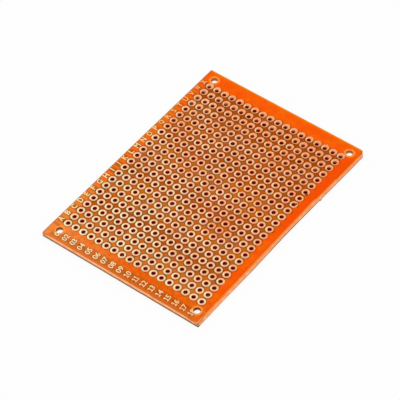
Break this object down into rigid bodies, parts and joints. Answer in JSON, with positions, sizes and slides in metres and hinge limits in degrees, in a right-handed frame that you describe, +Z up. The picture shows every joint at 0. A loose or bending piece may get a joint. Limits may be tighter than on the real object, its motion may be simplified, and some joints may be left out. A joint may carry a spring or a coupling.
{
  "type": "prototype board",
  "caption": "Rectangular single-sided prototype board: a thin orange phenolic sheet punched with a regular grid of lead holes, each ringed by a copper pad, with a mounting hole by each corner.",
  "frame": {"origin": "middle of the plain underside, which the board rests on", "axes": "+X along the numbered columns from 01 to 18, +Y along the lettered rows from A to X, +Z up out of the copper side"},
  "size_m": [0.05, 0.07, 0.0012],
  "materials": {
    "phenolic": "glossy orange phenolic paper laminate",
    "copper": "bare copper foil under a thin flux lacquer"
  },
  "bodies": {
    "root": {"laminate": "phenolic", "pad_row_a": "copper", "pad_row_b": "copper", "pad_row_c": "copper", "pad_row_d": "copper", "pad_row_e": "copper", "pad_row_f": "copper", "pad_row_g": "copper", "pad_row_h": "copper", "pad_row_i": "copper", "pad_row_j": "copper", "pad_row_k": "copper", "pad_row_l": "copper", "pad_row_m": "copper", "pad_row_n": "copper", "pad_row_o": "copper", "pad_row_p": "copper", "pad_row_q": "copper", "pad_row_r": "copper", "pad_row_s": "copper", "pad_row_t": "copper", "pad_row_u": "copper", "pad_row_v": "copper", "pad_row_w": "copper", "pad_row_x": "copper"}
  },
  "joints": []
}
